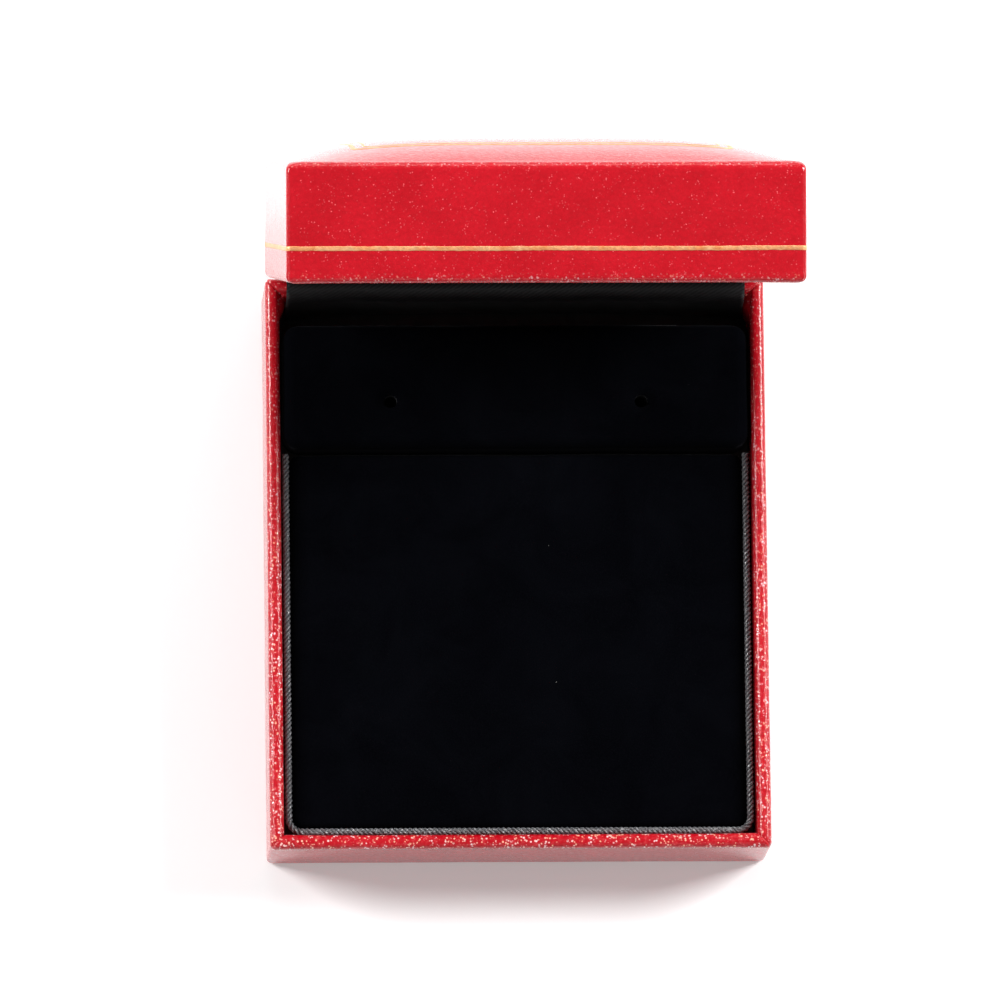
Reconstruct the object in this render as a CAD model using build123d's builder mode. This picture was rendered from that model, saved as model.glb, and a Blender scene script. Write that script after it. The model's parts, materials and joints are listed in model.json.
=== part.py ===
from build123d import *
import os
from math import atan, cos, degrees, radians, sin, tan

# A hinged jewellery box that stands open: a leatherette-covered tray with a corded velvet panel
# and a raised pad for stud earrings, and a padded lid on a sprung metal hinge.
#
# Frame: X runs across the box, +Y to the hinge side, +Z up. The origin is the middle of the
# underside. All lengths are in millimetres.

# Overall sizes
box_width = 92.0
box_length = 106.0
base_height = 20.0
lid_height = 21.5
lid_crown = 4.2
open_angle = 79.0

# Shells and their leatherette cover
shell_wall = 1.6
shell_floor = 1.6
skin = 0.5
corner_radius = 0.9
rim_round = 0.8
lid_edge_round = 1.6
hem_width = 8.0
base_turn_in = 10.0
lid_turn_in = 15.0
under_sheet_thickness = 0.5
under_sheet_inset = 1.5

# Lid crown and gilding
crown_inset = 1.0
crown_slope = 7.5
gold_height = 6.1
gold_width = 0.8
gold_thickness = 0.12
top_rule_inset = 12.0
top_rule_gap = 1.4

# Hinge
rim_gap = 0.3
hinge_width = 40.0
knuckle_count = 5
knuckle_radius = 1.0
knuckle_gap = 0.15
pin_radius = 0.45
pin_clearance = 0.05
leaf_thickness = 0.5
leaf_reach = 8.6
notch_depth = 1.2
notch_clearance = 0.1
tack_spacing = 10.0
tack_radius = 0.5
tack_head_radius = 1.1
tack_head = 0.35
tack_bite = 0.9
tack_share = 0.6
spring_width = 6.0
spring_thickness = 0.3
spring_hold = 6.6
spring_bend_radius = 2.5
satin_thickness = 0.4
satin_drop = 10.5
satin_rise = 11.0
satin_stand_off = 1.9
satin_bend_radius = 3.5
satin_side_gap = 1.6

# Necklace panel, its cord and the card frame under it
panel_depth = 3.4
velvet = 0.6
panel_foam_thickness = 2.4
card = 1.5
cord_radius = 0.55
cord_wall_gap = 0.45
cord_panel_gap = 0.05
cord_corner_radius = 2.4
cord_drop = 0.4
frame_card = 1.2
frame_ledge = 5.0
frame_wall_gap = 0.3

# Stud pad
pad_length = 23.2
pad_side_gap = 0.4
pad_panel_gap = 0.5
pad_top = 0.4
hinge_well = 5.9
pad_corner_radius = 3.0
pad_edge_round = 2.2
pad_rest_gap = 0.2
stud_spacing = 46.2
stud_hole_radius = 1.2
stud_from_front = 8.7
pad_tape_thickness = 0.3
pad_tape_width = 60.0
pad_tape_leg = 4.0

# Lid lining
lining_gap = 0.4
lining_card_thickness = 1.2
lining_foam_thickness = 2.2
lining_satin_thickness = 0.4
lining_corner_radius = 2.0
lining_edge_round = 1.0

# Derived places
wall_stack = skin + shell_wall + skin
inner_width = box_width - 2 * wall_stack
inner_length = box_length - 2 * wall_stack
rear_inner_y = inner_length / 2
front_inner_y = -rear_inner_y
hem_z = under_sheet_thickness
shell_z = hem_z + skin
frame_z = shell_z + shell_floor
panel_top_z = base_height - panel_depth
panel_foam_z = panel_top_z - velvet - panel_foam_thickness
panel_card_z = panel_foam_z - card
pad_rear_y = rear_inner_y - hinge_well
pad_front_y = pad_rear_y - pad_length
pad_card_z = panel_card_z + pad_rest_gap
pad_top_z = base_height + pad_top
pad_foam_z = pad_card_z + card
pad_width = inner_width - 2 * pad_side_gap
cord_x = inner_width / 2 - cord_wall_gap - cord_radius
cord_front_y = front_inner_y + cord_wall_gap + cord_radius
cord_z = panel_top_z - cord_drop
panel_side_x = cord_x - cord_radius - cord_panel_gap
panel_front_y = cord_front_y + cord_radius + cord_panel_gap
panel_rear_y = pad_front_y - pad_panel_gap
panel_corner_radius = cord_corner_radius - cord_radius - cord_panel_gap
lid_shell_top = lid_height - skin
lid_ceiling = lid_shell_top - shell_wall
lining_card_z = lid_ceiling - lining_card_thickness
lining_foam_z = lining_card_z - lining_foam_thickness
lining_face_z = lining_foam_z - lining_satin_thickness
leaf_face = wall_stack + leaf_thickness
tack_length = leaf_thickness + skin + tack_bite
axis_y = box_length / 2
axis_z = base_height + rim_gap / 2

# Working planes. Level planes look down on the part, and side planes cut it from back to front.
lean = radians(open_angle)
lid_up = Vector(0, sin(lean), cos(lean))
lid_back = Vector(0, cos(lean), -sin(lean))
hinge_line = Vector(0, axis_y, axis_z)
base_rim = Plane(origin=(0, 0, base_height), x_dir=(1, 0, 0), z_dir=(0, 0, -1))
base_side = Plane(origin=hinge_line, x_dir=(0, 1, 0), z_dir=(1, 0, 0))
lid_side = Plane(origin=hinge_line, x_dir=lid_back, z_dir=(1, 0, 0))


def base_level(height, centre_y=0.0):
    """A level plane in the base, height above the underside."""
    return Plane(origin=(0, centre_y, height), x_dir=(1, 0, 0), z_dir=(0, 0, 1))


def lid_level(height, centre_y=0.0):
    """A plane across the lid, height above its rim, which leans back with the open lid."""
    origin = hinge_line + lid_up * (rim_gap / 2 + height) + lid_back * (centre_y - box_length / 2)
    return Plane(origin=origin, x_dir=(1, 0, 0), z_dir=lid_up)


def slab(plane, width, length, radius, height, mode=Mode.ADD):
    """A flat block with rounded corners, standing on the plane."""
    with BuildSketch(plane) as outline:
        RectangleRounded(width, length, radius)
    extrude(outline.sketch, amount=height, mode=mode)


def ring(plane, width, length, radius, breadth, height, mode=Mode.ADD):
    """A flat rectangular ring, breadth wide all round."""
    with BuildSketch(plane) as outline:
        RectangleRounded(width, length, radius)
        if radius > breadth:
            RectangleRounded(width - 2 * breadth, length - 2 * breadth, radius - breadth,
                             mode=Mode.SUBTRACT)
        else:
            Rectangle(width - 2 * breadth, length - 2 * breadth, mode=Mode.SUBTRACT)
    extrude(outline.sketch, amount=height, mode=mode)


def turn_in(rim, depth):
    """The cover's inner leg, which goes from the rim down the inside of the walls."""
    with BuildSketch(rim) as lined:
        Rectangle(inner_width + 2 * skin, inner_length + 2 * skin)
    extrude(lined.sketch, amount=depth)
    with BuildSketch(rim) as mouth:
        Rectangle(inner_width, inner_length)
    extrude(mouth.sketch, amount=depth, mode=Mode.SUBTRACT)


def hinge_notch(side, sign):
    """The gap in a rear wall that the hinge knuckles turn in."""
    depth = notch_depth + rim_gap / 2
    reach = 2 * (wall_stack + knuckle_radius)
    with BuildSketch(side) as outline:
        with Locations((0, sign * depth / 2)):
            Rectangle(reach, depth)
    extrude(outline.sketch, amount=hinge_width / 2 + rim_gap, both=True, mode=Mode.SUBTRACT)


def tack_row(side, sign, radius, start, depth, mode=Mode.ADD):
    """A row of four round pegs that point out through a rear wall."""
    height = sign * (rim_gap / 2 + leaf_reach * tack_share)
    wall_plane = Plane(
        origin=side.from_local_coords(Vector(-start, height, 0)),
        x_dir=(1, 0, 0),
        z_dir=side.x_dir,
    )
    with BuildSketch(wall_plane) as outline:
        with GridLocations(tack_spacing, 1, 4, 1):
            Circle(radius)
    extrude(outline.sketch, amount=depth, mode=mode)


def tacks(side, sign):
    """Headed tacks that hold a hinge leaf to its wall."""
    tack_row(side, sign, tack_head_radius, leaf_face + tack_head, tack_head)
    tack_row(side, sign, tack_radius, leaf_face, tack_length)


def tack_holes(side, sign):
    """The holes that the tacks pass through."""
    tack_row(side, sign, tack_radius, leaf_face, tack_length, Mode.SUBTRACT)


def knuckle_centres(first):
    """Middles of every other knuckle along the hinge, from the first or the second."""
    pitch = hinge_width / knuckle_count
    start = -hinge_width / 2 + pitch / 2
    return [start + pitch * index for index in range(first, knuckle_count, 2)]


def leaf(side, sign, first):
    """A stamped hinge leaf: a plate inside the wall, with straps and curled knuckles."""
    strap = sign * (rim_gap / 2 + notch_depth - notch_clearance - leaf_thickness / 2)
    plate_end = sign * (rim_gap / 2 + leaf_reach)
    plate_start = strap - sign * leaf_thickness / 2
    with BuildSketch(side) as plate:
        with Locations((-wall_stack - leaf_thickness / 2, (plate_start + plate_end) / 2)):
            Rectangle(leaf_thickness, abs(plate_end - plate_start))
    extrude(plate.sketch, amount=hinge_width / 2, both=True)
    for x in knuckle_centres(first):
        with BuildSketch(side.offset(x)) as knuckle:
            with Locations((-leaf_face / 2, strap)):
                Rectangle(leaf_face, leaf_thickness)
            Circle(knuckle_radius)
            Circle(pin_radius + pin_clearance, mode=Mode.SUBTRACT)
        length = hinge_width / knuckle_count - knuckle_gap
        extrude(knuckle.sketch, amount=length / 2, both=True)
    tack_holes(side, sign)


def bent_strip(stand_off, drop, rise, bend_radius, thickness, width):
    """A strip that stands off both rear walls and bends round the hinge, from base to lid."""
    with BuildSketch(base_side) as section:
        with BuildLine() as middle:
            FilletPolyline(
                (-stand_off, -drop),
                (-stand_off, stand_off * tan(lean / 2)),
                (
                    rise * sin(lean) - stand_off * cos(lean),
                    rise * cos(lean) + stand_off * sin(lean),
                ),
                radius=bend_radius,
            )
        trace(middle.line, line_width=thickness)
    extrude(section.sketch, amount=width / 2, both=True)


def finish(part, name):
    """Label a finished piece and write its file."""
    part.label = name
    export_step(part, f"parts/{name}.step")


os.makedirs("parts", exist_ok=True)

# Base: moulded tray, open at the top
with BuildPart() as base_shell:
    slab(base_level(shell_z), box_width - 2 * skin, box_length - 2 * skin, corner_radius - skin,
         base_height - skin - shell_z)
    with BuildSketch(base_level(frame_z)) as hollow:
        Rectangle(inner_width + 2 * skin, inner_length + 2 * skin)
    extrude(amount=base_height, mode=Mode.SUBTRACT)
    hinge_notch(base_side, -1)
    tack_holes(base_side, -1)
finish(base_shell.part, "base_shell")

# Base: leatherette, wrapped over the rim, turned in at the top and hemmed under the floor
with BuildPart() as base_cover:
    slab(base_level(hem_z), box_width, box_length, corner_radius, base_height - hem_z)
    slab(base_level(shell_z), box_width - 2 * skin, box_length - 2 * skin, corner_radius - skin,
         base_height - skin - shell_z, Mode.SUBTRACT)
    turn_in(base_rim, base_turn_in)
    with BuildSketch(base_level(hem_z)) as hem_opening:
        Rectangle(box_width - 2 * hem_width, box_length - 2 * hem_width)
    extrude(amount=skin, mode=Mode.SUBTRACT)
    fillet(base_cover.faces().sort_by(Axis.Z)[-1].edges(), radius=rim_round)
    hinge_notch(base_side, -1)
    tack_holes(base_side, -1)
finish(base_cover.part, "base_cover")

# Base: paper sheet that closes the underside
with BuildPart() as under_sheet:
    slab(base_level(0), box_width - 2 * under_sheet_inset, box_length - 2 * under_sheet_inset,
         corner_radius, under_sheet_thickness)
finish(under_sheet.part, "under_sheet")

# Insert: folded card frame, with a ledge that carries the panel and the stud pad
frame_front_y = front_inner_y + frame_wall_gap
frame_width = inner_width - 2 * frame_wall_gap
frame_length = pad_rear_y - frame_front_y
frame_y = (pad_rear_y + frame_front_y) / 2
cross_wall_y = (panel_rear_y + pad_front_y) / 2
with BuildPart() as insert_frame:
    with BuildSketch(base_level(frame_z, frame_y)) as walls:
        Rectangle(frame_width, frame_length)
        Rectangle(frame_width - 2 * frame_card, frame_length - 2 * frame_card, mode=Mode.SUBTRACT)
    extrude(amount=panel_card_z - frame_z)
    with BuildSketch(base_level(frame_z, cross_wall_y)) as cross_wall:
        Rectangle(frame_width - frame_card, frame_card)
    extrude(amount=panel_card_z - frame_z)
    with BuildSketch(base_level(panel_card_z - frame_card, frame_y)) as ledge:
        Rectangle(frame_width, frame_length)
        for low_y, high_y in ((frame_front_y, cross_wall_y), (cross_wall_y, pad_rear_y)):
            with Locations((0, (low_y + high_y) / 2 - frame_y)):
                Rectangle(
                    frame_width - 2 * frame_ledge,
                    high_y - low_y - 2 * frame_ledge,
                    mode=Mode.SUBTRACT,
                )
    extrude(amount=frame_card)
finish(insert_frame.part, "insert_frame")

# Insert: necklace panel of card, foam and velvet
panel_length = panel_rear_y - panel_front_y
panel_y = (panel_rear_y + panel_front_y) / 2
with BuildPart() as panel_card:
    slab(base_level(panel_card_z, panel_y), 2 * (panel_side_x - velvet), panel_length - 2 * velvet,
         panel_corner_radius - velvet, card)
finish(panel_card.part, "panel_card")

with BuildPart() as panel_foam:
    slab(base_level(panel_foam_z, panel_y), 2 * (panel_side_x - velvet),
         panel_length - 2 * velvet, panel_corner_radius - velvet, panel_foam_thickness)
finish(panel_foam.part, "panel_foam")

with BuildPart() as panel_velvet:
    slab(base_level(panel_card_z, panel_y), 2 * panel_side_x, panel_length,
         panel_corner_radius, panel_top_z - panel_card_z)
    slab(base_level(panel_card_z, panel_y), 2 * (panel_side_x - velvet), panel_length - 2 * velvet,
         panel_corner_radius - velvet, card + panel_foam_thickness, Mode.SUBTRACT)
finish(panel_velvet.part, "panel_velvet")

# Insert: twisted cord round three sides of the panel
with BuildPart() as panel_cord:
    with BuildLine() as cord_path:
        FilletPolyline(
            (-cord_x, panel_rear_y, cord_z),
            (-cord_x, cord_front_y, cord_z),
            (cord_x, cord_front_y, cord_z),
            (cord_x, panel_rear_y, cord_z),
            radius=cord_corner_radius,
        )
    with BuildSketch(Plane(origin=(-cord_x, panel_rear_y, cord_z), z_dir=(0, -1, 0))):
        Circle(cord_radius)
    sweep()
finish(panel_cord.part, "panel_cord")

# Stud pad: card, foam block and velvet, with two holes for earring posts
pad_y = (pad_rear_y + pad_front_y) / 2
stud_y = pad_front_y + stud_from_front


def stud_holes():
    """The two post holes, right through the pad."""
    with BuildSketch(base_level(pad_card_z, stud_y)) as holes:
        with GridLocations(stud_spacing, 1, 2, 1):
            Circle(stud_hole_radius)
    extrude(holes.sketch, amount=2 * (pad_top_z - pad_card_z), mode=Mode.SUBTRACT)


with BuildPart() as pad_card:
    slab(base_level(pad_card_z, pad_y), pad_width - 2 * velvet, pad_length - 2 * velvet,
         pad_corner_radius - velvet, card)
    stud_holes()
finish(pad_card.part, "pad_card")

with BuildPart() as pad_foam:
    slab(base_level(pad_foam_z, pad_y), pad_width - 2 * velvet, pad_length - 2 * velvet,
         pad_corner_radius - velvet, pad_top_z - velvet - pad_foam_z)
    fillet(pad_foam.faces().sort_by(Axis.Z)[-1].edges(), radius=pad_edge_round - velvet)
    stud_holes()
finish(pad_foam.part, "pad_foam")

with BuildPart() as pad_velvet:
    slab(base_level(pad_card_z, pad_y), pad_width, pad_length, pad_corner_radius,
         pad_top_z - pad_card_z)
    fillet(pad_velvet.faces().sort_by(Axis.Z)[-1].edges(), radius=pad_edge_round)
    add(pad_card.part, mode=Mode.SUBTRACT)
    add(pad_foam.part, mode=Mode.SUBTRACT)
    stud_holes()
finish(pad_velvet.part, "pad_velvet")

with BuildPart() as pad_tape:
    with BuildSketch(
        Plane(
            origin=(0, pad_rear_y, pad_card_z - pad_rest_gap / 2),
            x_dir=(1, 0, 0),
            z_dir=(0, 1, 0),
        )
    ):
        Rectangle(pad_tape_width, 2 * pad_tape_leg)
    extrude(amount=pad_tape_thickness)
finish(pad_tape.part, "pad_tape")

# Hinge: two stamped leaves, a pin, tacks and a bowed spring strip
with BuildPart() as hinge_base_leaf:
    leaf(base_side, -1, 0)
finish(hinge_base_leaf.part, "hinge_base_leaf")

with BuildPart() as hinge_lid_leaf:
    leaf(lid_side, 1, 1)
finish(hinge_lid_leaf.part, "hinge_lid_leaf")

with BuildPart() as hinge_pin:
    with BuildSketch(base_side):
        Circle(pin_radius)
    extrude(amount=(hinge_width - knuckle_gap) / 2, both=True)
finish(hinge_pin.part, "hinge_pin")

with BuildPart() as base_tacks:
    tacks(base_side, -1)
finish(base_tacks.part, "base_tacks")

with BuildPart() as lid_tacks:
    tacks(lid_side, 1)
finish(lid_tacks.part, "lid_tacks")

with BuildPart() as hinge_spring:
    bent_strip(leaf_face + spring_thickness, spring_hold, spring_hold,
               spring_bend_radius, spring_thickness, spring_width)
finish(hinge_spring.part, "hinge_spring")

# Satin strip that hides the hinge, from the base's rear wall into the lid
with BuildPart() as hinge_satin:
    bent_strip(wall_stack + satin_stand_off, satin_drop, satin_rise, satin_bend_radius,
               satin_thickness, inner_width - 2 * satin_side_gap)
finish(hinge_satin.part, "hinge_satin")

# Lid: the outer form of its moulded tray
lid_axis = Axis(hinge_line, lid_up)
with BuildPart() as lid_form:
    slab(lid_level(skin), box_width - 2 * skin, box_length - 2 * skin, corner_radius - skin,
         lid_shell_top - skin)
    fillet(lid_form.faces().sort_by(lid_axis)[-1].edges(), radius=lid_edge_round - skin)

# Lid: moulded tray, open towards the base
with BuildPart() as lid_shell:
    add(lid_form.part)
    with BuildSketch(lid_level(0)) as hollow:
        Rectangle(inner_width + 2 * skin, inner_length + 2 * skin)
    extrude(amount=lid_ceiling, mode=Mode.SUBTRACT)
    hinge_notch(lid_side, 1)
    tack_holes(lid_side, 1)
finish(lid_shell.part, "lid_shell")


def crown(inset, height):
    """The domed shape of the padded top: a block whose sides slope in."""
    with BuildSketch(lid_level(lid_shell_top)) as footprint:
        Rectangle(box_width - 2 * inset, box_length - 2 * inset)
    extrude(footprint.sketch, amount=height, taper=degrees(atan(crown_slope / lid_crown)))


# Lid: foam that pads the top
crown_foam_inset = crown_inset + lid_edge_round
with BuildPart() as crown_foam:
    crown(crown_foam_inset, lid_crown)
finish(crown_foam.part, "crown_foam")

# Lid: leatherette, stretched over the foam and the walls and turned in at the rim
with BuildPart() as lid_cover:
    slab(lid_level(0), box_width, box_length, corner_radius, lid_height)
    fillet(lid_cover.faces().sort_by(lid_axis)[-1].edges(), radius=lid_edge_round)
    crown(crown_foam_inset - skin, lid_crown + skin)
    add(crown_foam.part, mode=Mode.SUBTRACT)
    add(lid_form.part, mode=Mode.SUBTRACT)
    turn_in(lid_level(0), lid_turn_in)
    fillet(lid_cover.faces().sort_by(lid_axis)[0].edges(), radius=rim_round)
    hinge_notch(lid_side, 1)
    tack_holes(lid_side, 1)
finish(lid_cover.part, "lid_cover")

# Lid: gilt rule round the walls, and two gilt rules on the top
with BuildPart() as gold_band:
    ring(lid_level(gold_height - gold_width / 2), box_width + 2 * gold_thickness,
         box_length + 2 * gold_thickness, corner_radius + gold_thickness, gold_thickness,
         gold_width)
finish(gold_band.part, "gold_band")

with BuildPart() as gold_top_rules:
    inner_rule_inset = top_rule_inset + gold_width + top_rule_gap
    for inset, breadth in ((top_rule_inset, gold_width), (inner_rule_inset, gold_width / 2)):
        ring(lid_level(lid_height + lid_crown), box_width - 2 * inset, box_length - 2 * inset,
             lining_corner_radius, breadth, gold_thickness)
finish(gold_top_rules.part, "gold_top_rules")

# Lid: lining of card, foam and satin
lining_width = inner_width - 2 * lining_gap
lining_length = inner_length - 2 * lining_gap
with BuildPart() as lining_card:
    slab(lid_level(lining_card_z), lining_width - 2 * lining_satin_thickness,
         lining_length - 2 * lining_satin_thickness, lining_corner_radius, lining_card_thickness)
finish(lining_card.part, "lining_card")

with BuildPart() as lining_foam:
    slab(lid_level(lining_foam_z), lining_width - 2 * lining_satin_thickness,
         lining_length - 2 * lining_satin_thickness, lining_corner_radius, lining_foam_thickness)
    fillet(lining_foam.faces().sort_by(lid_axis)[0].edges(), radius=lining_edge_round)
finish(lining_foam.part, "lining_foam")

with BuildPart() as lining_satin:
    slab(lid_level(lining_face_z), lining_width, lining_length,
         lining_corner_radius + lining_satin_thickness, lid_ceiling - lining_face_z)
    fillet(lining_satin.faces().sort_by(lid_axis)[0].edges(),
           radius=lining_edge_round + lining_satin_thickness)
    add(lining_foam.part, mode=Mode.SUBTRACT)
    add(lining_card.part, mode=Mode.SUBTRACT)
finish(lining_satin.part, "lining_satin")
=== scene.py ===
import json
import math

import bmesh
import bpy
import numpy as np
from mathutils import Matrix, Vector, noise


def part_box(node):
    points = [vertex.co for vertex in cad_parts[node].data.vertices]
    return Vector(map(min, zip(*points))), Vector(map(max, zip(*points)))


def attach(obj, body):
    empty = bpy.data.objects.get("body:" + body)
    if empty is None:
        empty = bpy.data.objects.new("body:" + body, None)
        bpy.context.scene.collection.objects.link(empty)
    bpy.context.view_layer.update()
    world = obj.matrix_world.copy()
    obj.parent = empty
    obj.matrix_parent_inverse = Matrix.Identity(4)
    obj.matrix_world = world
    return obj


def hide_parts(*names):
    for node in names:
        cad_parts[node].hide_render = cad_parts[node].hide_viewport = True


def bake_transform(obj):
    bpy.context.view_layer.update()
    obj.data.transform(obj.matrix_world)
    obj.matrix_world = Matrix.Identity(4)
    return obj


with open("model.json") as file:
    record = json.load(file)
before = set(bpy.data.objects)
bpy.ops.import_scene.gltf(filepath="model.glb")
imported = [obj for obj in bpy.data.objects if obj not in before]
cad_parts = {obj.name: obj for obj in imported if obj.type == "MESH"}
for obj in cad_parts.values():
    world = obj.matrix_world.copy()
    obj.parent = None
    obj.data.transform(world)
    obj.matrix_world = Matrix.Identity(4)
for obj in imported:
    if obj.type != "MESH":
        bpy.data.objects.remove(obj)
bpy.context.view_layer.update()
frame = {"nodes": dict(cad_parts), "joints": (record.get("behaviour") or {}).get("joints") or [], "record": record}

MM = 0.001

# ---------------------------------------------------------------- places read from the frame

cover_low, cover_high = (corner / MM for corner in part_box("base_cover"))
panel_low, panel_high = (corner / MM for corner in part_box("panel_velvet"))
pad_low, pad_high = (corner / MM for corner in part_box("pad_velvet"))
cord_low, cord_high = (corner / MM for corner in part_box("panel_cord"))
satin_low, satin_high = (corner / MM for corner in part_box("hinge_satin"))
spring_low, spring_high = (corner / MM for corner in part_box("hinge_spring"))
tape_low, tape_high = (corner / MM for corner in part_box("pad_tape"))

lid_joint = next(joint for joint in frame["joints"] if joint["name"] == "lid_hinge")
hinge_point = Vector(lid_joint["pos_m"]) / MM
lean = math.radians(lid_joint["range_deg"][1])
lid_up = Vector((0, math.sin(lean), math.cos(lean)))
lid_back = Vector((0, math.cos(lean), -math.sin(lean)))

RIM_GAP = 0.3           # between the two rims when the box is shut
SKIN = 0.5              # leatherette
WALL_STACK = 2.6        # wall with leatherette on both faces
HINGE_HALF = 20.3       # half the width of the notch round the hinge
NOTCH = 1.2
half_width = cover_high.x
half_length = cover_high.y
rim_z = cover_high.z
hem_z = cover_low.z

# The open lid's own frame: x across, y towards the hinge, z up from its rim when shut
lid_origin = hinge_point + lid_up * (RIM_GAP / 2) - lid_back * half_length
lid_frame = Matrix.Identity(4)
for row in range(3):
    lid_frame[row][0] = (1, 0, 0)[row]
    lid_frame[row][1] = lid_back[row]
    lid_frame[row][2] = lid_up[row]
    lid_frame[row][3] = lid_origin[row]


def lid_reach(node):
    """Lowest and highest corners of a CAD node in the lid's own frame, in millimetres."""
    to_lid = lid_frame.inverted()
    corners = [to_lid @ (vertex.co / MM) for vertex in frame["nodes"][node].data.vertices]
    return (Vector([min(c[i] for c in corners) for i in range(3)]),
            Vector([max(c[i] for c in corners) for i in range(3)]))


lid_low, lid_high = lid_reach("lid_cover")
band_low, band_high = lid_reach("gold_band")
rules_low, rules_high = lid_reach("gold_top_rules")
lining_low, lining_high = lid_reach("lining_satin")

lid_edge_z = lid_reach("lid_shell")[1].z + SKIN
CROWN = lid_high.z - lid_edge_z
LID_EDGE_ROUND = 1.6
LID_TURN_IN = 15.0
BASE_TURN_IN = 10.0
RIM_ROUND = 1.15

# ---------------------------------------------------------------- camera, floor and light


def make_camera():
    """A long lens, nearly straight above, a little to the front and to the left."""
    place = Vector((-132.3, -392.2, 2438.9))
    target = Vector((0, 0, 20))
    roll = math.radians(-0.694)
    ahead = (target - place).normalized()
    right = ahead.cross(Vector((0, 1, 0))).normalized()
    up = right.cross(ahead)
    right, up = (right * math.cos(roll) + up * math.sin(roll),
                 up * math.cos(roll) - right * math.sin(roll))
    aim = target - right * 3.3 + up * 11.35
    ahead = (aim - place).normalized()
    right = ahead.cross(up).normalized()
    up = right.cross(ahead)
    data = bpy.data.cameras.new("camera")
    data.sensor_width = 36
    data.lens = 481
    data.clip_start = 0.1
    data.clip_end = 20
    camera = bpy.data.objects.new("camera", data)
    bpy.context.collection.objects.link(camera)
    turn = Matrix((right, up, -ahead)).transposed().to_4x4()
    camera.matrix_world = Matrix.Translation(place * MM) @ turn
    bpy.context.scene.camera = camera


def softbox(name, place, size, power, tint=(1, 1, 1)):
    """A square lamp that looks at the middle of the box."""
    data = bpy.data.lights.new(name, "AREA")
    data.shape = "RECTANGLE"
    data.size, data.size_y = size
    data.energy = power
    data.color = tint
    lamp = bpy.data.objects.new(name, data)
    bpy.context.collection.objects.link(lamp)
    lamp.location = place
    lamp.rotation_mode = "QUATERNION"
    lamp.rotation_quaternion = (Vector((0, 0, 0.03)) - Vector(place)).to_track_quat("-Z", "Y")


make_camera()
softbox("right_softbox", (0.78, 0.30, 0.66), (0.34, 0.28), 11.4)
softbox("left_softbox", (-0.80, 0.26, 0.62), (0.34, 0.28), 9.0)
softbox("front_softbox", (0.05, -0.95, 0.80), (0.8, 0.4), 1.0)
softbox("rear_softbox", (0.0, 0.95, 0.75), (0.8, 0.4), 3.2)

world = bpy.data.worlds.new("studio")
bpy.context.scene.world = world
world.use_nodes = True
world.node_tree.nodes["Background"].inputs["Color"].default_value = (1, 1, 1, 1)
world.node_tree.nodes["Background"].inputs["Strength"].default_value = 0.20
bpy.context.scene.view_settings.view_transform = "Standard"

# ---------------------------------------------------------------- shader helpers


def node(tree, kind, sockets=None, **settings):
    """Add a shader node. A socket takes a plain value or another node's output."""
    made = tree.nodes.new("ShaderNode" + kind)
    for key, value in settings.items():
        setattr(made, key, value)
    for key, value in (sockets or {}).items():
        if isinstance(value, bpy.types.NodeSocket):
            tree.links.new(value, made.inputs[key])
        else:
            made.inputs[key].default_value = value
    return made


def place_of(tree):
    """Object coordinates."""
    return node(tree, "TexCoord").outputs["Object"]


def grain(tree, place, size, detail=2.0, roughness=0.5, stretch=0.0):
    """Noise whose features are about size millimetres across."""
    return node(tree, "TexNoise", {"Vector": place, "Scale": 1 / (size * MM), "Detail": detail,
                                   "Roughness": roughness, "Distortion": stretch}).outputs["Fac"]


def cells(tree, place, size, feature="F1", output="Distance"):
    """Voronoi cells about size millimetres across."""
    return node(tree, "TexVoronoi", {"Vector": place, "Scale": 1 / (size * MM)},
                feature=feature).outputs[output]


def maths(tree, operation, first, second=0.0, third=0.0):
    return node(tree, "Math", {0: first, 1: second, 2: third},
                operation=operation).outputs[0]


def ramp(tree, value, *stops):
    """Colour ramp. Each stop is a position and a grey or a colour."""
    made = node(tree, "ValToRGB", {"Fac": value})
    points = made.color_ramp.elements
    while len(points) < len(stops):
        points.new(0.5)
    for point, (position, colour) in zip(points, stops):
        point.position = position
        if not isinstance(colour, tuple):
            colour = (colour, colour, colour)
        point.color = (*colour, 1)
    return made.outputs["Color"]


def over(tree, share, below, above):
    """One colour laid over another."""
    return node(tree, "Mix", {0: share, 6: below, 7: above}, data_type="RGBA").outputs[2]


def bump(tree, height, depth, strength=1.0, normal=None):
    """A bump of depth millimetres."""
    sockets = {"Height": height, "Distance": depth * MM, "Strength": strength}
    if normal is not None:
        sockets["Normal"] = normal
    return node(tree, "Bump", sockets).outputs["Normal"]


def material(name, **values):
    """A new material and its tree, with plain values set on the shader's own sockets."""
    made = bpy.data.materials.new(name)
    made.use_nodes = True
    shader = made.node_tree.nodes["Principled BSDF"]
    for key, value in values.items():
        shader.inputs[key.replace("_", " ")].default_value = value
    return made, made.node_tree, shader


def feed(tree, shader, **links):
    for key, output in links.items():
        tree.links.new(output, shader.inputs[key.replace("_", " ")])


# ---------------------------------------------------------------- finishes


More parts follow.
